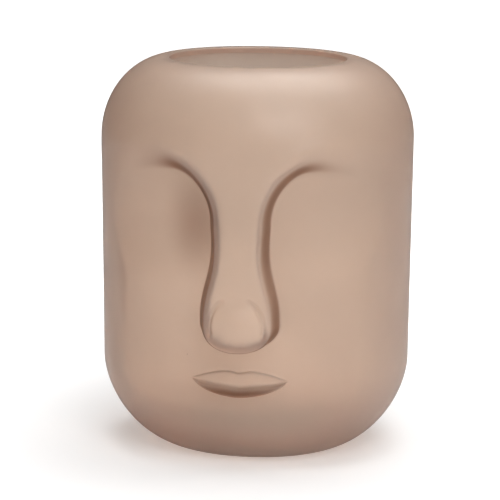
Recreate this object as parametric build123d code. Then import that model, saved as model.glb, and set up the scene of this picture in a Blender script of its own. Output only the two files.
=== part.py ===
from build123d import *
import math
import os

# A free-standing glass vase, blown in a mould in one piece: a rounded barrel on an oval plan with
# a calm, long-nosed face pressed into its front. Millimetres, +Z up, the face looks along -Y.
# The origin is the middle of the flat base, on the surface that the vase stands on.

# Plain body
body_width = 180.0
body_depth = 158.5
body_height = 225.0
taper_share = 0.016
plan_power = 2.08

# Rounding from the flat base up to the sides
base_width = 92.0
base_depth = 81.0
foot_height = 51.0
foot_power = 1.76

# Rounding from the sides in to the rim, whose top is ground flat and stands above the shoulder
rim_width = 112.4
rim_depth = 99.0
rim_stand = 0.3
shoulder_height = 44.8
shoulder_power = 1.94

# Oval mouth through the rim
mouth_width = 101.0
mouth_depth = 85.0
mouth_edge = 0.8

# Thickness of the glass
side_wall = 4.0
base_wall = 9.0
face_wall = 5.0
slope_wall = 2.5
under_wall = 4.4
inner_softness_share = 1.25
lip_wall = 2.7
rim_wall = 3.2
overrun = 5.0

# Face: planed off the front as one shallow arc, which meets the body in a crease
face_reach = 67.0
face_radius = 165.0
crease_width = 2.2
chin_height = 48.0
chin_softness = 14.0
cheek_height = 108.0
cheek_swell = 1.3
cheek_spread = 13.0
cheek_half_width = 72.0
face_middle_share = 0.2

# Eye sockets: sunk towards the temples, each under a round brow
socket_height = 142.5
socket_offset = 50.5
socket_radius = 36.5
socket_sink = 4.8
socket_spread = 24.0
socket_oval_share = 0.8
brow_softness = 4.8
brow_fade = 9.0
brow_fade_offset = 24.0
brow_fade_width = 34.0
brow_ridge = 0.7
brow_ridge_offset = 6.5
brow_ridge_spread = 4.5

# Nose: left standing between the sockets and cheeks, and fuller towards its tip
nose_waist = 27.0
nose_waist_height = 130.0
nose_width = 39.2
nose_tip_height = 86.0
nose_underside = 14.5
nose_underside_power = 2.4
nose_softness = 3.6
under_softness = 1.8
slope_power = 1.7
nose_rise = 4.2
nose_rise_height = 165.0
nose_crown_spread = 26.0

# Ball of the nose, which fades upwards into the ridge
ball_width = 30.0
ball_height = 34.0
ball_rise = 2.4
ball_fade = 14.0
ball_blend_share = 0.2

# Creases between the ball and the wings of the nose, round the upper sides of the ball
wing_crease_depth = 1.2
wing_crease_spread = 1.1
wing_crease_start_share = 0.3
wing_crease_end_share = 0.45
wing_crease_fade_share = 0.3

# Lips: a lens with a bow in its upper edge, which leans out to its lower edge
mouth_line_height = 52.5
lips_width = 54.0
upper_lip = 6.2
lower_lip = 10.3
bow_depth = 1.7
bow_width = 10.0
lips_rise = 6.8
lip_outline_share = 0.12
lip_outline_reach_share = 0.08
lip_dip_share = 0.6
mouth_line_share = 0.48
lip_fullest_share = 0.84
lip_edge_share = 0.16
lip_line_depth = 0.25
lip_line_spread = 0.4
lower_lip_round_share = 0.75

# How finely the skins are drawn, with the points crowded towards the nose and lips
outer_column_count = 200
outer_row_count = 150
inner_column_count = 104
inner_row_count = 96
profile_count = 600
crowding_share = 0.55
fine_rows_height = 66.0
fine_rows_spread = 30.0
fine_rows_gain_share = 2.6


def ease(t):
    """Smooth step from 0 to 1, level at both ends."""
    t = min(max(t, 0.0), 1.0)
    return t ** 3 * (6 * t * t - 15 * t + 10)


def fall(t):
    """Share of the drop from the forehead and nose to the face: round above, tight below."""
    return ease(max(t, 0.0) ** slope_power)


def bell(distance, spread):
    """Smooth bump of height 1."""
    return math.exp(-((distance / spread) ** 2))


def soft_min(a, b, width):
    """The lesser of two values, with the corner between them rounded."""
    near = max(1 - abs(a - b) / width, 0.0)
    return min(a, b) - near ** 3 * width / 6


def corner_share(rise, reach, power):
    """How far a rounded corner has swung out, as a share, at a height above its start."""
    left = 1 - min(max(rise / reach, 0.0), 1.0)
    return (1 - left ** power) ** (1 / power)


def half(width, depth, inset=0.0):
    return width / 2 - inset, depth / 2 - inset


def plan_radius(half_x, half_y, across, along):
    """Distance from the axis to the oval plan in a direction."""
    power = plan_power
    return (abs(across / half_x) ** power + abs(along / half_y) ** power) ** (-1 / power)


class Skin:
    """One closed surface of the glass, as the half sizes of its plain rings at every height."""

    def __init__(self, bottom, top, stand, side, floor, crown):
        self.bottom, self.top, self.side, self.floor = bottom, top, side, floor
        self.foot = foot_height - bottom
        self.apex = top + stand
        self.shoulder = self.apex - (body_height - shoulder_height)
        cut_off = corner_share(stand, self.shoulder, shoulder_power)
        self.crown = [(c - s * cut_off) / (1 - cut_off) for c, s in zip(crown, side)]

    def half_sizes(self, z):
        """Half width and half depth of the plain ring at a height."""
        foot = corner_share(z - self.bottom, self.foot, foot_power)
        shoulder = corner_share(self.apex - z, self.shoulder, shoulder_power)
        taper = 1 - taper_share * (1 - z / body_height)
        sizes = []
        for side, floor, crown in zip(self.side, self.floor, self.crown):
            drawn_in = (side - floor) * (1 - foot) + (side - crown) * (1 - shoulder)
            sizes.append((side - drawn_in) * taper)
        return sizes

    def heights(self, count):
        """Heights of the rings, even along the profile but closer where the relief is fine."""
        samples, travelled = [], [0.0]
        for i in range(profile_count + 1):
            share = (1 - math.cos(math.pi * i / profile_count)) / 2
            samples.append(self.bottom + (self.top - self.bottom) * share)
        for low, high in zip(samples, samples[1:]):
            step = math.dist((self.half_sizes(low)[1], low), (self.half_sizes(high)[1], high))
            fine = bell((low + high) / 2 - fine_rows_height, fine_rows_spread)
            travelled.append(travelled[-1] + step * (1 + fine_rows_gain_share * fine))
        heights, k = [], 0
        for j in range(count):
            goal = travelled[-1] * j / (count - 1)
            while k < profile_count - 1 and travelled[k + 1] < goal:
                k += 1
            share = (goal - travelled[k]) / (travelled[k + 1] - travelled[k])
            heights.append(samples[k] + (samples[k + 1] - samples[k]) * share)
        return heights


def past_edge(x, z):
    """Distance past the edge of the forehead and nose, into the sockets and cheeks."""
    x = abs(x)
    if z > socket_height:
        across = x - socket_offset
        if across > 0:
            across *= socket_oval_share
        return socket_radius - math.hypot(across, z - socket_height)
    if z > nose_waist_height:
        inner_edge = socket_offset - socket_radius
        narrowing = ease((socket_height - z) / (socket_height - nose_waist_height))
        return x - inner_edge - (nose_waist / 2 - inner_edge) * narrowing
    if z > nose_tip_height:
        widening = ease((nose_waist_height - z) / (nose_waist_height - nose_tip_height))
        return x - (nose_waist + (nose_width - nose_waist) * widening) / 2
    power = nose_underside_power
    below = (nose_tip_height - z) / nose_underside
    around = ((2 * x / nose_width) ** power + below ** power) ** (1 / power)
    return nose_width / 2 * (around - 1)


def edge_softness(x, z):
    """Half width of the slope round the nose, tight below it and wide out along the brows."""
    brow_height = socket_height + socket_radius
    upward = ease((z - nose_waist_height) / (brow_height - nose_waist_height))
    outward = ease((abs(x) - brow_fade_offset) / brow_fade_width)
    brow = brow_softness + brow_fade * outward
    downward = ease((nose_tip_height - z) / nose_underside)
    beside = nose_softness + (under_softness - nose_softness) * downward
    return beside + (brow - nose_softness) * upward


def planed(x, z):
    """How far the sockets, cheeks and chin stand in front of the middle plane."""
    change = cheek_swell * bell(z - cheek_height, cheek_spread)
    change -= socket_sink * bell(z - socket_height, socket_spread)
    outward = (x / cheek_half_width) ** 2
    change *= face_middle_share + (1 - face_middle_share) * outward
    return face_reach - x * x / (2 * face_radius) + change


def wing_crease(x, z, around):
    """Depth share of the creases between the ball of the nose and its wings."""
    far = max(around, wing_crease_fade_share)
    across = 2 * abs(x) / ball_width / far
    above = 2 * (z - nose_tip_height) / ball_height / far
    window = ease((across - wing_crease_start_share) / wing_crease_fade_share)
    window *= ease((above + wing_crease_end_share) / wing_crease_fade_share)
    return bell((around - 1) * ball_width / 2, wing_crease_spread) * window


def forehead_and_nose(x, z, plain):
    """The body's own front, with the brow ridges and the nose standing proud of it."""
    down = ease((nose_rise_height - z) / (nose_rise_height - nose_tip_height))
    lift = nose_rise * down * bell(x, nose_crown_spread)
    around = math.hypot(2 * x / ball_width, 2 * (z - nose_tip_height) / ball_height)
    cap = -soft_min(around ** 2 - 1, 0.0, ball_blend_share)
    lift += ball_rise * cap * ease((nose_tip_height + ball_height / 2 - z) / ball_fade)
    lift -= wing_crease_depth * wing_crease(x, z, around)
    over_eye = ease((z - socket_height) / socket_radius)
    lift += brow_ridge * over_eye * bell(past_edge(x, z) + brow_ridge_offset, brow_ridge_spread)
    return plain + lift


def lips(x, z, early=0.0):
    """How far the lips stand proud of the planed face, turning under early by a height."""
    middle = 1 - (2 * x / lips_width) ** 2
    if middle <= 0:
        return 0.0
    bow = bow_depth * bell(x, bow_width / 2)
    top = mouth_line_height + (upper_lip - bow) * middle
    bottom = mouth_line_height - lower_lip * middle ** lower_lip_round_share
    t = (top - z) / (top - bottom)
    dip = ease((t - lip_outline_reach_share) / (mouth_line_share - lip_outline_reach_share))
    out = lip_outline_share * ease(t / lip_outline_reach_share) * (1 - lip_dip_share * dip)
    swell = ease((t - mouth_line_share) / (lip_fullest_share - mouth_line_share))
    out += (1 - lip_outline_share * (1 - lip_dip_share)) * swell
    turned = t + early / (top - bottom) - lip_fullest_share
    back = ease(turned / lip_edge_share)
    line = lip_line_depth * bell(z - top, lip_line_spread)
    return math.sqrt(middle) * (lips_rise * out * (1 - back) - line)


def outer_front(x, z, plain):
    """Reach of the glass in front of the middle plane, face and all."""
    crease = crease_width + chin_softness * ease((chin_height - z) / chin_height)
    sunk = soft_min(planed(x, z), plain, crease) + lips(x, z)
    soft = edge_softness(x, z)
    cut = fall((past_edge(x, z) + soft) / (2 * soft))
    return forehead_and_nose(x, z, plain) * (1 - cut) + sunk * cut


def inner_front(x, z, plain):
    """Reach of the hollow, which follows the face more softly."""
    crease = 2 * (crease_width + chin_softness * ease((chin_height - z) / chin_height))
    sunk = soft_min(planed(x, z) - face_wall, plain, crease) + lips(x, z, lip_wall)
    soft = inner_softness_share * edge_softness(x, max(z, nose_tip_height))
    downward = ease((nose_tip_height - z) / nose_underside)
    wall = slope_wall + (under_wall - slope_wall) * downward
    cut = fall((past_edge(x, z) + wall + soft) / (2 * soft))
    return forehead_and_nose(x, z, plain) * (1 - cut) + sunk * cut


def ring(skin, front, z, columns):
    """Closed curve around a skin at a height, its points crowded towards the face."""
    half_x, half_y = skin.half_sizes(z)
    points = []
    for i in range(columns):
        even = 2 * math.pi * i / columns
        turn = even - crowding_share * math.sin(even)
        across, along = math.sin(turn), -math.cos(turn)
        radius = plan_radius(half_x, half_y, across, along)
        x, y = radius * across, radius * along
        if y < 0:
            y = -front(x, z, -y)
        points.append((x, y, z))
    steps = [i / columns for i in range(columns + 1)]
    return Wire([Edge.make_spline(points, periodic=True, parameters=steps)])


def filled(skin, front, rows, columns):
    """Solid that fills a skin, flat at both ends."""
    return Solid.make_loft([ring(skin, front, z, columns) for z in skin.heights(rows)])


def mouth_hole(floor_height):
    """Upright oval hole down through the rim from above it."""
    half_x, half_y = half(mouth_width, mouth_depth)
    points = []
    for i in range(inner_column_count):
        turn = 2 * math.pi * i / inner_column_count
        across, along = math.cos(turn), math.sin(turn)
        radius = plan_radius(half_x, half_y, across, along)
        points.append((radius * across, radius * along, floor_height))
    outline = Wire([Edge.make_spline(points, periodic=True)])
    return extrude(Face(outline), body_height + overrun - floor_height, dir=(0, 0, 1))


def vase_body():
    """The glass: outer skin less the hollow and the mouth, with the mouth's edge rounded."""
    outer = Skin(
        bottom=0.0,
        top=body_height,
        stand=rim_stand,
        side=half(body_width, body_depth),
        floor=half(base_width, base_depth),
        crown=half(rim_width, rim_depth),
    )
    inner = Skin(
        bottom=base_wall,
        top=body_height - rim_wall,
        stand=0.0,
        side=half(body_width, body_depth, side_wall),
        floor=half(base_width, base_depth, side_wall),
        crown=half(rim_width, rim_depth, side_wall / 2),
    )
    glass = filled(outer, outer_front, outer_row_count, outer_column_count)
    glass -= filled(inner, inner_front, inner_row_count, inner_column_count)
    glass -= mouth_hole(inner.top - overrun)
    mouth_rim = glass.edges().group_by(Axis.Z)[-1].sort_by(SortBy.LENGTH)[0]
    return fillet(mouth_rim, mouth_edge)


os.makedirs("parts", exist_ok=True)
export_step(vase_body(), "parts/vase_body.step")
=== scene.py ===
import math

import bpy
import numpy as np
from mathutils import Matrix, Vector


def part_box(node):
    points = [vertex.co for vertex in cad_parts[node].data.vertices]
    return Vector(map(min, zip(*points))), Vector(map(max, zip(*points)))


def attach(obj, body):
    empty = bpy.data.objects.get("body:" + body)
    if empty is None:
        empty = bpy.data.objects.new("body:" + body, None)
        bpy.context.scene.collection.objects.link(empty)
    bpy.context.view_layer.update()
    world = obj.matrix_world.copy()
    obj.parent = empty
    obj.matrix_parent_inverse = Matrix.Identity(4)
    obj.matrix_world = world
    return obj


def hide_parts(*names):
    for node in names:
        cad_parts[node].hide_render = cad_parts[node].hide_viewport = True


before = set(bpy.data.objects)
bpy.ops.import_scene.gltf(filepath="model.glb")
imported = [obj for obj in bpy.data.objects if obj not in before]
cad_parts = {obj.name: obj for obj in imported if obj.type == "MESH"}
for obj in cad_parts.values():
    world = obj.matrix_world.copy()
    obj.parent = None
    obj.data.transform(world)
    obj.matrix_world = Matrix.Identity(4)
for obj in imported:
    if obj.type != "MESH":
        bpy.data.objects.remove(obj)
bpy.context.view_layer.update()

# A glass vase with a face pressed into its front, etched satin inside and out. Metres, the face
# looks along -Y, and the origin is the middle of the base, on the floor.

# Plain body, whose height comes from the vase_body part in model.glb
vase_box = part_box("vase_body")
body_width = 0.180
body_depth = 0.1585
body_height = vase_box[1].z
taper_share = 0.016
plan_power = 2.08

# Rounding from the flat base up to the sides
base_width = 0.092
base_depth = 0.081
foot_height = 0.051
foot_power = 1.76

# Rounding from the sides in to the rim, whose top is ground flat and stands above the shoulder
rim_width = 0.1124
rim_depth = 0.099
rim_stand = 0.0003
shoulder_height = 0.0448
shoulder_power = 1.94

# Oval mouth through the rim
mouth_width = 0.101
mouth_depth = 0.085
mouth_edge = 0.0008

# Thickness of the glass
side_wall = 0.004
base_wall = 0.009
face_wall = 0.005
slope_wall = 0.0025
under_wall = 0.0044
lip_wall = 0.0027
rim_wall = 0.0032
inner_softness_share = 1.25

# Face: planed off the front as one shallow arc, which meets the body in a crease
face_reach = 0.067
face_radius = 0.165
crease_width = 0.0022
chin_height = 0.048
chin_softness = 0.014
cheek_height = 0.108
cheek_swell = 0.0013
cheek_spread = 0.013
cheek_half_width = 0.072
face_middle_share = 0.2

# Eye sockets: sunk towards the temples, each under a round brow
socket_height = 0.1425
socket_offset = 0.0505
socket_radius = 0.0365
socket_sink = 0.0048
socket_spread = 0.024
socket_oval_share = 0.8
brow_softness = 0.0048
brow_fade = 0.009
brow_fade_offset = 0.024
brow_fade_width = 0.034
brow_ridge = 0.0007
brow_ridge_offset = 0.0065
brow_ridge_spread = 0.0045

# Nose: left standing between the sockets and cheeks, and fuller towards its tip
nose_waist = 0.027
nose_waist_height = 0.130
nose_width = 0.0392
nose_tip_height = 0.086
nose_underside = 0.0145
nose_underside_power = 2.4
nose_softness = 0.0036
under_softness = 0.0018
nose_rise = 0.0042
nose_rise_height = 0.165
nose_crown_spread = 0.026
slope_power = 1.7

# Ball of the nose, which fades upwards into the ridge
ball_width = 0.030
ball_height = 0.034
ball_rise = 0.0024
ball_fade = 0.014
ball_blend_share = 0.2

# Creases between the ball and the wings of the nose, on the sides of the ball
wing_crease_depth = 0.0012
wing_crease_spread = 0.0011
wing_crease_start_share = 0.3
wing_crease_end_share = 0.45
wing_crease_fade_share = 0.3

# Lips: a lens with a bow in its upper edge, which leans out to its lower edge
mouth_line_height = 0.0525
lips_width = 0.054
upper_lip = 0.0062
lower_lip = 0.0103
lower_lip_round_share = 0.75
bow_depth = 0.0017
bow_width = 0.010
lips_rise = 0.0068
lip_outline_share = 0.12
lip_outline_reach_share = 0.08
lip_dip_share = 0.6
mouth_line_share = 0.48
lip_fullest_share = 0.84
lip_edge_share = 0.16
lip_line_depth = 0.00025
lip_line_spread = 0.0004
lip_least_share = 1e-9

# How finely the skins are drawn, with the points crowded towards the nose and lips
column_count = 420
outer_row_count = 380
inner_row_count = 170
profile_count = 1200
mouth_edge_count = 7
mouth_wall_count = 4
flat_ring_count = 9
crowding_share = 0.62
fine_rows_height = 0.066
fine_rows_spread = 0.028
fine_rows_gain_share = 3


def ease(t):
    """Smooth step from 0 to 1, level at both ends."""
    t = np.clip(t, 0.0, 1.0)
    return t ** 3 * (6 * t * t - 15 * t + 10)


def fall(t):
    """Share of the drop from the forehead and nose to the face: round above, tight below."""
    return ease(np.maximum(t, 0.0) ** slope_power)


def bell(distance, spread):
    """Smooth bump of height 1."""
    return np.exp(-((distance / spread) ** 2))


def soft_min(a, b, width):
    """The lesser of two values, with the corner between them rounded."""
    near = np.maximum(1 - abs(a - b) / width, 0.0)
    return np.minimum(a, b) - near ** 3 * width / 6


def corner_share(rise, reach, power):
    """How far a rounded corner has swung out, as a share, at a height above its start."""
    left = 1 - np.clip(rise / reach, 0.0, 1.0)
    return (1 - left ** power) ** (1 / power)


def half(width, depth, inset=0.0):
    """Half width and half depth of an oval, drawn in by an inset."""
    return width / 2 - inset, depth / 2 - inset


class Skin:
    """One closed surface of the glass, as the half sizes of its plain rings at every height."""

    def __init__(self, bottom, top, stand, side, floor, crown):
        self.bottom, self.top, self.side, self.floor = bottom, top, side, floor
        self.foot = foot_height - bottom
        self.apex = top + stand
        self.shoulder = self.apex - (body_height - shoulder_height)
        cut_off = corner_share(stand, self.shoulder, shoulder_power)
        self.crown = [(c - s * cut_off) / (1 - cut_off) for c, s in zip(crown, side)]

    def half_sizes(self, z):
        """Half widths and half depths of the plain rings at an array of heights."""
        foot = corner_share(z - self.bottom, self.foot, foot_power)
        shoulder = corner_share(self.apex - z, self.shoulder, shoulder_power)
        taper = 1 - taper_share * (1 - z / body_height)
        sizes = []
        for side, floor, crown in zip(self.side, self.floor, self.crown):
            drawn_in = (side - floor) * (1 - foot) + (side - crown) * (1 - shoulder)
            sizes.append((side - drawn_in) * taper)
        return sizes

    def heights(self, count):
        """Heights of the rings, even along the profile but closer where the relief is fine."""
        swing = np.cos(np.linspace(0, math.pi, profile_count))
        z = self.bottom + (self.top - self.bottom) * (1 - swing) / 2
        steps = np.hypot(np.diff(self.half_sizes(z)[1]), np.diff(z))
        fine = bell((z[1:] + z[:-1]) / 2 - fine_rows_height, fine_rows_spread)
        travelled = np.append(0, np.cumsum(steps * (1 + fine_rows_gain_share * fine)))
        return np.interp(np.linspace(0, travelled[-1], count), travelled, z)


def past_edge(x, z):
    """Distance past the edge of the forehead and nose, into the sockets and cheeks."""
    x = abs(x)
    across = x - socket_offset
    across = np.where(across > 0, across * socket_oval_share, across)
    in_socket = socket_radius - np.hypot(across, z - socket_height)
    inner_edge = socket_offset - socket_radius
    narrowing = ease((socket_height - z) / (socket_height - nose_waist_height))
    beside_bridge = x - inner_edge - (nose_waist / 2 - inner_edge) * narrowing
    widening = ease((nose_waist_height - z) / (nose_waist_height - nose_tip_height))
    beside_nose = x - (nose_waist + (nose_width - nose_waist) * widening) / 2
    power = nose_underside_power
    below = np.maximum(nose_tip_height - z, 0) / nose_underside
    around = ((2 * x / nose_width) ** power + below ** power) ** (1 / power)
    under_nose = nose_width / 2 * (around - 1)
    bands = [z > socket_height, z > nose_waist_height, z > nose_tip_height]
    return np.select(bands, [in_socket, beside_bridge, beside_nose], under_nose)


def edge_softness(x, z):
    """Half width of the slope beside the nose, which grows up and out along the brows."""
    brow_height = socket_height + socket_radius
    upward = ease((z - nose_waist_height) / (brow_height - nose_waist_height))
    outward = ease((abs(x) - brow_fade_offset) / brow_fade_width)
    brow = brow_softness + brow_fade * outward
    downward = ease((nose_tip_height - z) / nose_underside)
    beside = nose_softness + (under_softness - nose_softness) * downward
    return beside + (brow - nose_softness) * upward


def planed(x, z):
    """How far the sockets, cheeks and chin stand in front of the middle plane."""
    change = cheek_swell * bell(z - cheek_height, cheek_spread)
    change = change - socket_sink * bell(z - socket_height, socket_spread)
    outward = (x / cheek_half_width) ** 2
    change = change * (face_middle_share + (1 - face_middle_share) * outward)
    return face_reach - x * x / (2 * face_radius) + change


def wing_crease(x, z, around):
    """Depth of the creases round the ball of the nose, at distances from its middle."""
    stretch = np.maximum(around, wing_crease_fade_share)
    across = 2 * abs(x) / ball_width / stretch
    above = 2 * (z - nose_tip_height) / ball_height / stretch
    window = ease((across - wing_crease_start_share) / wing_crease_fade_share)
    window = window * ease((above + wing_crease_end_share) / wing_crease_fade_share)
    crease = bell((around - 1) * ball_width / 2, wing_crease_spread)
    return wing_crease_depth * crease * window


def forehead_and_nose(x, z, plain):
    """The body's own front, with the brow ridges and the nose standing proud of it."""
    down = ease((nose_rise_height - z) / (nose_rise_height - nose_tip_height))
    lift = nose_rise * down * bell(x, nose_crown_spread)
    around = np.hypot(2 * x / ball_width, 2 * (z - nose_tip_height) / ball_height)
    cap = -soft_min(around ** 2 - 1, 0.0, ball_blend_share)
    lift = lift + ball_rise * cap * ease((nose_tip_height + ball_height / 2 - z) / ball_fade)
    lift = lift - wing_crease(x, z, around)
    over_eye = ease((z - socket_height) / socket_radius)
    ridge = bell(past_edge(x, z) + brow_ridge_offset, brow_ridge_spread)
    return plain + lift + brow_ridge * over_eye * ridge


def lips(x, z, early=0.0):
    """How far the lips stand proud of the planed face, turning under early by a height."""
    middle = np.maximum(1 - (2 * x / lips_width) ** 2, lip_least_share)
    bow = bow_depth * bell(x, bow_width / 2)
    top = mouth_line_height + (upper_lip - bow) * middle
    bottom = mouth_line_height - lower_lip * middle ** lower_lip_round_share
    t = (top - z) / (top - bottom)
    dip = ease((t - lip_outline_reach_share) / (mouth_line_share - lip_outline_reach_share))
    out = lip_outline_share * ease(t / lip_outline_reach_share) * (1 - lip_dip_share * dip)
    swell = ease((t - mouth_line_share) / (lip_fullest_share - mouth_line_share))
    out = out + (1 - lip_outline_share * (1 - lip_dip_share)) * swell
    turned = t + early / (top - bottom) - lip_fullest_share
    back = ease(turned / lip_edge_share)
    line = lip_line_depth * bell(z - top, lip_line_spread)
    return np.sqrt(middle) * (lips_rise * out * (1 - back) - line)


def chin_crease(z):
    """Width of the crease round the planed face, which softens away under the chin."""
    return crease_width + chin_softness * ease((chin_height - z) / chin_height)


def outer_front(x, z, plain):
    """Reach of the glass in front of the middle plane, face and all."""
    sunk = soft_min(planed(x, z), plain, chin_crease(z)) + lips(x, z)
    soft = edge_softness(x, z)
    cut = fall((past_edge(x, z) + soft) / (2 * soft))
    return forehead_and_nose(x, z, plain) * (1 - cut) + sunk * cut


def inner_front(x, z, plain):
    """Reach of the hollow, which follows the face more softly."""
    sunk = soft_min(planed(x, z) - face_wall, plain, 2 * chin_crease(z)) + lips(x, z, lip_wall)
    soft = inner_softness_share * edge_softness(x, np.maximum(z, nose_tip_height))
    downward = ease((nose_tip_height - z) / nose_underside)
    wall = slope_wall + (under_wall - slope_wall) * downward
    cut = fall((past_edge(x, z) + wall + soft) / (2 * soft))
    return forehead_and_nose(x, z, plain) * (1 - cut) + sunk * cut


def directions():
    """Sines and cosines of the ring's points, crowded towards the face."""
    even = np.linspace(0, 2 * math.pi, column_count, endpoint=False)
    turn = even - crowding_share * np.sin(even)
    return np.sin(turn), -np.cos(turn)


def oval(half_x, half_y):
    """Points of an oval of the body's plan, for one size or a column of sizes."""
    across, along = directions()
    power = plan_power
    radius = (abs(across / half_x) ** power + abs(along / half_y) ** power) ** (-1 / power)
    return radius * across, radius * along


def skin_rings(skin, front, count):
    """Rings of a skin from its bottom to its top, as rows of points."""
    z = skin.heights(count)[:, None]
    half_x, half_y = skin.half_sizes(z)
    x, y = oval(half_x, half_y)
    y = np.where(y < 0, -front(x, z, -y), y)
    return np.stack([x, y, np.broadcast_to(z, x.shape)], axis=-1)


def flat_rings(ring, shares, height):
    """Level rings that are shrunken copies of one ring."""
    made = []
    for share in shares:
        inner = ring * share
        inner[:, 2] = height
        made.append(inner)
    return made


def level_ring(half_x, half_y, height):
    """One plain ring of the body's plan."""
    x, y = oval(half_x, half_y)
    return np.stack([x, y, np.full_like(x, height)], axis=-1)


def mouth_rings(top, under):
    """Rings over the mouth's rounded upper edge and down through the rim."""
    half_x, half_y = half(mouth_width, mouth_depth)
    rings = []
    for turn in np.linspace(0, math.pi / 2, mouth_edge_count):
        out = mouth_edge * (1 - math.sin(turn))
        down = mouth_edge * (1 - math.cos(turn))
        rings.append(level_ring(half_x + out, half_y + out, top - down))
    for z in np.linspace(top - mouth_edge, under, mouth_wall_count)[1:]:
        rings.append(level_ring(half_x, half_y, z))
    return rings


def vase_rings():
    """Rings of the whole glass: base, outer skin, rim, mouth, hollow and the hollow's floor."""
    outer = Skin(
        bottom=0.0,
        top=body_height,
        stand=rim_stand,
        side=half(body_width, body_depth),
        floor=half(base_width, base_depth),
        crown=half(rim_width, rim_depth),
    )
    inner = Skin(
        bottom=base_wall,
        top=body_height - rim_wall,
        stand=0.0,
        side=half(body_width, body_depth, side_wall),
        floor=half(base_width, base_depth, side_wall),
        crown=half(rim_width, rim_depth, side_wall / 2),
    )
    outside = list(skin_rings(outer, outer_front, outer_row_count))
    inside = list(skin_rings(inner, inner_front, inner_row_count))[::-1]
    shares = np.linspace(0, 1, flat_ring_count)[1:-1]
    base = flat_rings(outside[0], shares, 0.0)
    floor = flat_rings(inside[-1], shares[::-1], base_wall)
    return base + outside + mouth_rings(body_height, inner.top) + inside + floor


def vase_faces(ring_count, foot_centre, floor_centre):
    """Quads between the rings, and a fan of triangles over the base and over the floor."""
    here = np.arange(column_count)
    beside = (here + 1) % column_count
    rows = []
    for row in range(ring_count - 1):
        low = row * column_count
        high = low + column_count
        rows.append(np.stack([low + here, low + beside, high + beside, high + here], axis=-1))
    faces = [tuple(face) for face in np.concatenate(rows).tolist()]
    last = (ring_count - 1) * column_count
    for i, k in zip(here.tolist(), beside.tolist()):
        faces.append((foot_centre, k, i))
        faces.append((floor_centre, last + i, last + k))
    return faces


def vase_mesh():
    """The glass as one closed mesh."""
    rings = vase_rings()
    verts = np.concatenate(rings).tolist()
    foot_centre = len(verts)
    floor_centre = foot_centre + 1
    verts += [[0.0, 0.0, 0.0], [0.0, 0.0, base_wall]]
    mesh = bpy.data.meshes.new("vase_glass")
    mesh.from_pydata(verts, [], vase_faces(len(rings), foot_centre, floor_centre))
    mesh.polygons.foreach_set("use_smooth", [True] * len(mesh.polygons))
    mesh.update()
    return mesh


# Tint of the glass seen square on and edge on, and of the light that passes through its body
# The edge-on colour is partly the darker tint of a longer path through glass, partly painted shade
face_on_tint = (0.94, 0.82, 0.715, 1)
edge_on_tint_and_shade = (0.33, 0.175, 0.11, 1)
body_tint = (0.75, 0.42, 0.25, 1)
body_density = 30
glass_ior = 1.45
clear_share = 0.85

# Where the tint goes over from square on to edge on
facing_blend = 0.5
edge_on_range = (0.2, 0.75)

# The oval that the face's relief fills, with painted shade on its steep sides: beyond it, these hold
# only a share of the edge-on tint
relief_middle = Vector((0, -0.07, 0.118))
relief_reach = Vector((0.068, 0.09, 0.095))
relief_fade = (0.95, 1.15)
beyond_relief_share = 0.15

# Painted shadow of the nose: a soft patch of darker colour in the socket beside its bridge
nose_shadow_middle = Vector((-0.0255, -0.065, 0.1395))
nose_shadow_reach = Vector((0.022, 0.05, 0.036))
nose_shadow_strength = 0.5

# Painted shade in the lower lip, darker by how far it stands in front of the face's planed arc,
# which is taken as so tall here that height doesn't count
arc_height = 10
arc_axis = Vector((0, face_radius - face_reach, 0))
arc_reach = Vector((face_radius, face_radius, arc_height))
proud_range = (1.010, 1.038)
lips_middle = Vector((0, -0.07, 0.0495))
lips_reach = Vector((0.032, 0.03, 0.012))
lips_fade = (0.9, 1.1)
lower_lip_shade_strength = 1.0

# Slow mottle of the glass, in brightness and in roughness
mottle_size = 0.055
mottle_range = (0.3, 0.7)
mottle_shades = (0.965, 1.035)
mottle_roughness = (0.46, 0.38)

# Slow ripple and etched grain of the skin
ripple_size = 0.028
ripple_depth = 0.0004
grain_size = 0.0007
grain_depth = 0.00002

# Small dark seeds in the glass, each fading out round its own size
seed_gap = 0.034
seed_size = 0.0003
seed_fade = (0.5 * seed_size / seed_gap, 1.5 * seed_size / seed_gap)
seed_shades = (0.55, 1.0)

# How many octaves the noises have
mottle_detail = 3
fine_detail = 2

# The colour sockets of a Mix node, which share their names with its number sockets
mix_first = 6
mix_second = 7
mix_result = 2


def noise(nodes, links, place, size, detail):
    """Soft noise with patches of a size."""
    texture = nodes.new("ShaderNodeTexNoise")
    texture.inputs["Scale"].default_value = 1 / size
    texture.inputs["Detail"].default_value = detail
    links.new(place, texture.inputs["Vector"])
    return texture.outputs["Fac"]


def mapped(nodes, links, value, ends, goals):
    """A value carried from one range to another, softly at both ends."""
    node = nodes.new("ShaderNodeMapRange")
    node.interpolation_type = "SMOOTHSTEP"
    for key, number in zip(("From Min", "From Max", "To Min", "To Max"), ends + goals):
        node.inputs[key].default_value = number
    links.new(value, node.inputs["Value"])
    return node.outputs["Result"]


def joined(nodes, links, operation, a, b):
    """Two values put together by a Math node."""
    node = nodes.new("ShaderNodeMath")
    node.operation = operation
    links.new(a, node.inputs[0])
    links.new(b, node.inputs[1])
    return node.outputs[0]


def apart(nodes, links, place, middle, reach):
    """Distance from the middle of an ellipsoid, as a share of its reach."""
    scaled = nodes.new("ShaderNodeVectorMath")
    scaled.operation = "MULTIPLY_ADD"
    scaled.inputs[1].default_value = [1 / size for size in reach]
    scaled.inputs[2].default_value = [-start / size for start, size in zip(middle, reach)]
    links.new(place, scaled.inputs[0])
    length = nodes.new("ShaderNodeVectorMath")
    length.operation = "LENGTH"
    links.new(scaled.outputs[0], length.inputs[0])
    return length.outputs["Value"]


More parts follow.
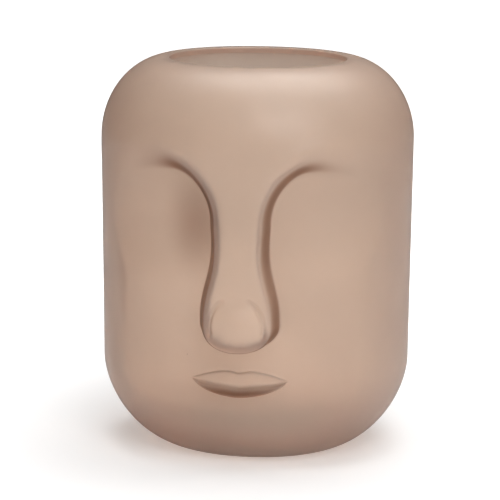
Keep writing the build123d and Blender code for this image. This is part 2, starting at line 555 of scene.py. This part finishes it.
def bumped(nodes, links, height, depth, below=None):
    """A surface normal turned by a height, on top of another turned normal if there is one."""
    node = nodes.new("ShaderNodeBump")
    node.inputs["Distance"].default_value = depth
    links.new(height, node.inputs["Height"])
    if below is not None:
        links.new(below, node.inputs["Normal"])
    return node.outputs["Normal"]


def tint_and_shade_depth(nodes, links, place):
    """How far the glass goes from its square-on tint to its edge-on tint and painted shade, from 0
    to 1.
    """
    facing = nodes.new("ShaderNodeLayerWeight")
    facing.inputs["Blend"].default_value = facing_blend
    edge = mapped(nodes, links, facing.outputs["Facing"], edge_on_range, (0.0, 1.0))
    from_relief = apart(nodes, links, place, relief_middle, relief_reach)
    relief = mapped(nodes, links, from_relief, relief_fade, (1.0, beyond_relief_share))
    # Painted shade on the steep sides within the face's relief, on top of the darker tint at grazing
    # edges
    slope_tint_and_shade = joined(nodes, links, "MULTIPLY", edge, relief)

    # Painted shadow cast by the nose into the socket beside its bridge
    from_nose_shadow = apart(nodes, links, place, nose_shadow_middle, nose_shadow_reach)
    nose_shadow = mapped(nodes, links, from_nose_shadow, (0.0, 1.0), (nose_shadow_strength, 0.0))

    # Painted shade under the lower lip, where it stands proud of the face's arc
    from_arc = apart(nodes, links, place, arc_axis, arc_reach)
    proud = mapped(nodes, links, from_arc, proud_range, (0.0, lower_lip_shade_strength))
    from_lips = apart(nodes, links, place, lips_middle, lips_reach)
    within = mapped(nodes, links, from_lips, lips_fade, (1.0, 0.0))
    lip_shade = joined(nodes, links, "MULTIPLY", proud, within)

    slope_and_nose_shade = joined(nodes, links, "MAXIMUM", slope_tint_and_shade, nose_shadow)
    return joined(nodes, links, "MAXIMUM", slope_and_nose_shade, lip_shade)


def satin_glass(name):
    """Etched taupe glass: a tinted body under a fine matt skin, with a few small seeds in it, and
    painted shade on the face's relief, beside the nose and under the lips.
    """
    material = bpy.data.materials.new(name)
    material.use_nodes = True
    nodes, links = material.node_tree.nodes, material.node_tree.links
    shader = nodes["Principled BSDF"]
    shader.inputs["IOR"].default_value = glass_ior
    shader.inputs["Transmission Weight"].default_value = clear_share
    absorb = nodes.new("ShaderNodeVolumeAbsorption")
    absorb.inputs["Color"].default_value = body_tint
    absorb.inputs["Density"].default_value = body_density
    links.new(absorb.outputs[0], nodes["Material Output"].inputs["Volume"])

    place = nodes.new("ShaderNodeTexCoord").outputs["Object"]
    mottle = noise(nodes, links, place, mottle_size, mottle_detail)
    ripple = noise(nodes, links, place, ripple_size, fine_detail)
    grain = noise(nodes, links, place, grain_size, fine_detail)
    seeds = nodes.new("ShaderNodeTexVoronoi")
    seeds.inputs["Scale"].default_value = 1 / seed_gap
    links.new(place, seeds.inputs["Vector"])
    seed = mapped(nodes, links, seeds.outputs["Distance"], seed_fade, seed_shades)

    # Square-on tint mixed towards the edge-on tint and painted shade
    tint = nodes.new("ShaderNodeMix")
    tint.data_type = "RGBA"
    tint.inputs[mix_first].default_value = face_on_tint
    tint.inputs[mix_second].default_value = edge_on_tint_and_shade
    links.new(tint_and_shade_depth(nodes, links, place), tint.inputs["Factor"])
    shade = nodes.new("ShaderNodeHueSaturation")
    slow = mapped(nodes, links, mottle, mottle_range, mottle_shades)
    links.new(joined(nodes, links, "MULTIPLY", slow, seed), shade.inputs["Value"])
    links.new(tint.outputs[mix_result], shade.inputs["Color"])
    links.new(shade.outputs["Color"], shader.inputs["Base Color"])

    rough = mapped(nodes, links, mottle, mottle_range, mottle_roughness)
    links.new(rough, shader.inputs["Roughness"])
    rippled = bumped(nodes, links, ripple, ripple_depth)
    links.new(bumped(nodes, links, grain, grain_depth, rippled), shader.inputs["Normal"])
    return material


glass = bpy.data.objects.new("vase_glass", vase_mesh())
bpy.context.scene.collection.objects.link(glass)
glass.data.materials.append(satin_glass("satin_glass"))
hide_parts("vase_body")
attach(glass, "root")

# Camera, at the photograph's angle
view_distance = 1.3
view_turn = math.radians(8.0)
view_rise = math.radians(12.55)
view_roll = math.radians(0.41)
view_lens = 161.0
view_end = 20
aim_right = 0.00388
aim_up = 0.00024


def add_camera():
    level = math.cos(view_rise)
    back = Vector((math.sin(view_turn) * level, -math.cos(view_turn) * level, math.sin(view_rise)))
    right = Vector((math.cos(view_turn), math.sin(view_turn), 0))
    up = back.cross(right)
    camera = bpy.data.objects.new("camera", bpy.data.cameras.new("camera"))
    bpy.context.scene.collection.objects.link(camera)
    goal = Vector((0, 0, body_height / 2)) - right * aim_right - up * aim_up
    moved = Matrix.Translation(goal + back * view_distance)
    turned = Matrix((right, up, back)).transposed().to_4x4()
    camera.matrix_world = moved @ turned @ Matrix.Rotation(view_roll, 4, "Z")
    camera.data.lens = view_lens
    camera.data.clip_end = view_end
    bpy.context.scene.camera = camera


# Two soft lamps, both turned to the middle of the vase
overhead_place = (0.1, 0.1, 1.1)
overhead_size = 1.0
key_place = (0.5, -1.2, 1.0)
key_size = 0.9
lamp_power = 11
lamp_goal = (0, 0, 0.11)


def area_light(name, place, size):
    data = bpy.data.lights.new(name, "AREA")
    data.size = size
    data.energy = lamp_power
    lamp = bpy.data.objects.new(name, data)
    lamp.location = place
    lamp.rotation_euler = (Vector(lamp_goal) - lamp.location).to_track_quat("-Z", "Y").to_euler()
    bpy.context.scene.collection.objects.link(lamp)


# Brightness of the surroundings: as light, in gloss, and through glass on their bright and dark side
world_level = 0.15
world_in_gloss = 0.05
through_bright_side = 1.0
through_dark_side = 0.3
dark_side = (-0.65, 0.3, 0.55)
dark_side_range = (-0.2, 1.0)

# Pale floor, and its glow: to the camera near the vase, in gloss, and through glass near and far
floor_half_width = 6.0
floor_colour = (0.85, 0.85, 0.85, 1)
floor_roughness = 0.8
near_glow = 0.25
sweep_range = (0.1, 0.45)
glow_in_gloss = 0.1
glow_through_glass = (0.34, 0.9)
through_glass_range = (0.15, 1.0)

# Full white, as a colour and as the backdrop's strength
white = (1, 1, 1, 1)
backdrop_level = 1.0


def chosen(nodes, links, ray, otherwise, level):
    """One strength for a kind of ray and another for the rest, each a number or a socket."""
    pick = nodes.new("ShaderNodeMix")
    links.new(ray, pick.inputs["Factor"])
    for key, value in (("A", otherwise), ("B", level)):
        if isinstance(value, float):
            pick.inputs[key].default_value = value
        else:
            links.new(value, pick.inputs[key])
    return pick.outputs["Result"]


def add_world():
    """White to the camera, and softer as light, in gloss and through the glass."""
    world = bpy.data.worlds.new("studio")
    bpy.context.scene.world = world
    world.use_nodes = True
    nodes, links = world.node_tree.nodes, world.node_tree.links
    background = nodes["Background"]
    background.inputs["Color"].default_value = white
    lean = nodes.new("ShaderNodeVectorMath")
    lean.operation = "DOT_PRODUCT"
    lean.inputs[1].default_value = Vector(dark_side).normalized()
    links.new(nodes.new("ShaderNodeTexCoord").outputs["Generated"], lean.inputs[0])
    sides = (through_bright_side, through_dark_side)
    through = mapped(nodes, links, lean.outputs["Value"], dark_side_range, sides)
    path = nodes.new("ShaderNodeLightPath").outputs
    level = chosen(nodes, links, path["Is Glossy Ray"], world_level, world_in_gloss)
    level = chosen(nodes, links, path["Is Transmission Ray"], level, through)
    level = chosen(nodes, links, path["Is Camera Ray"], level, backdrop_level)
    links.new(level, background.inputs["Strength"])


def floor_material():
    """Pale matt floor that goes over into the white backdrop away from the vase."""
    material = bpy.data.materials.new("floor")
    material.use_nodes = True
    nodes, links = material.node_tree.nodes, material.node_tree.links
    shader = nodes["Principled BSDF"]
    shader.inputs["Base Color"].default_value = floor_colour
    shader.inputs["Roughness"].default_value = floor_roughness
    shader.inputs["Emission Color"].default_value = white
    away = nodes.new("ShaderNodeVectorMath")
    away.operation = "LENGTH"
    links.new(nodes.new("ShaderNodeTexCoord").outputs["Object"], away.inputs[0])
    distance = away.outputs["Value"]
    sweep = mapped(nodes, links, distance, sweep_range, (near_glow, backdrop_level))
    through = mapped(nodes, links, distance, through_glass_range, glow_through_glass)
    path = nodes.new("ShaderNodeLightPath").outputs
    glow = chosen(nodes, links, path["Is Transmission Ray"], 0.0, through)
    glow = chosen(nodes, links, path["Is Glossy Ray"], glow, glow_in_gloss)
    glow = chosen(nodes, links, path["Is Camera Ray"], glow, sweep)
    links.new(glow, shader.inputs["Emission Strength"])
    return material


def add_floor():
    mesh = bpy.data.meshes.new("floor")
    s = floor_half_width
    mesh.from_pydata([(-s, -s, 0), (s, -s, 0), (s, s, 0), (-s, s, 0)], [], [(0, 1, 2, 3)])
    mesh.materials.append(floor_material())
    floor = bpy.data.objects.new("floor", mesh)
    bpy.context.scene.collection.objects.link(floor)


# How often light may pass through the glass and its skins
through_bounces = 32
gloss_bounces = 8

add_camera()
area_light("overhead", overhead_place, overhead_size)
area_light("key", key_place, key_size)
add_world()
add_floor()
bpy.context.scene.view_settings.view_transform = "Standard"
bpy.context.scene.cycles.max_bounces = through_bounces
bpy.context.scene.cycles.transmission_bounces = through_bounces
bpy.context.scene.cycles.glossy_bounces = gloss_bounces
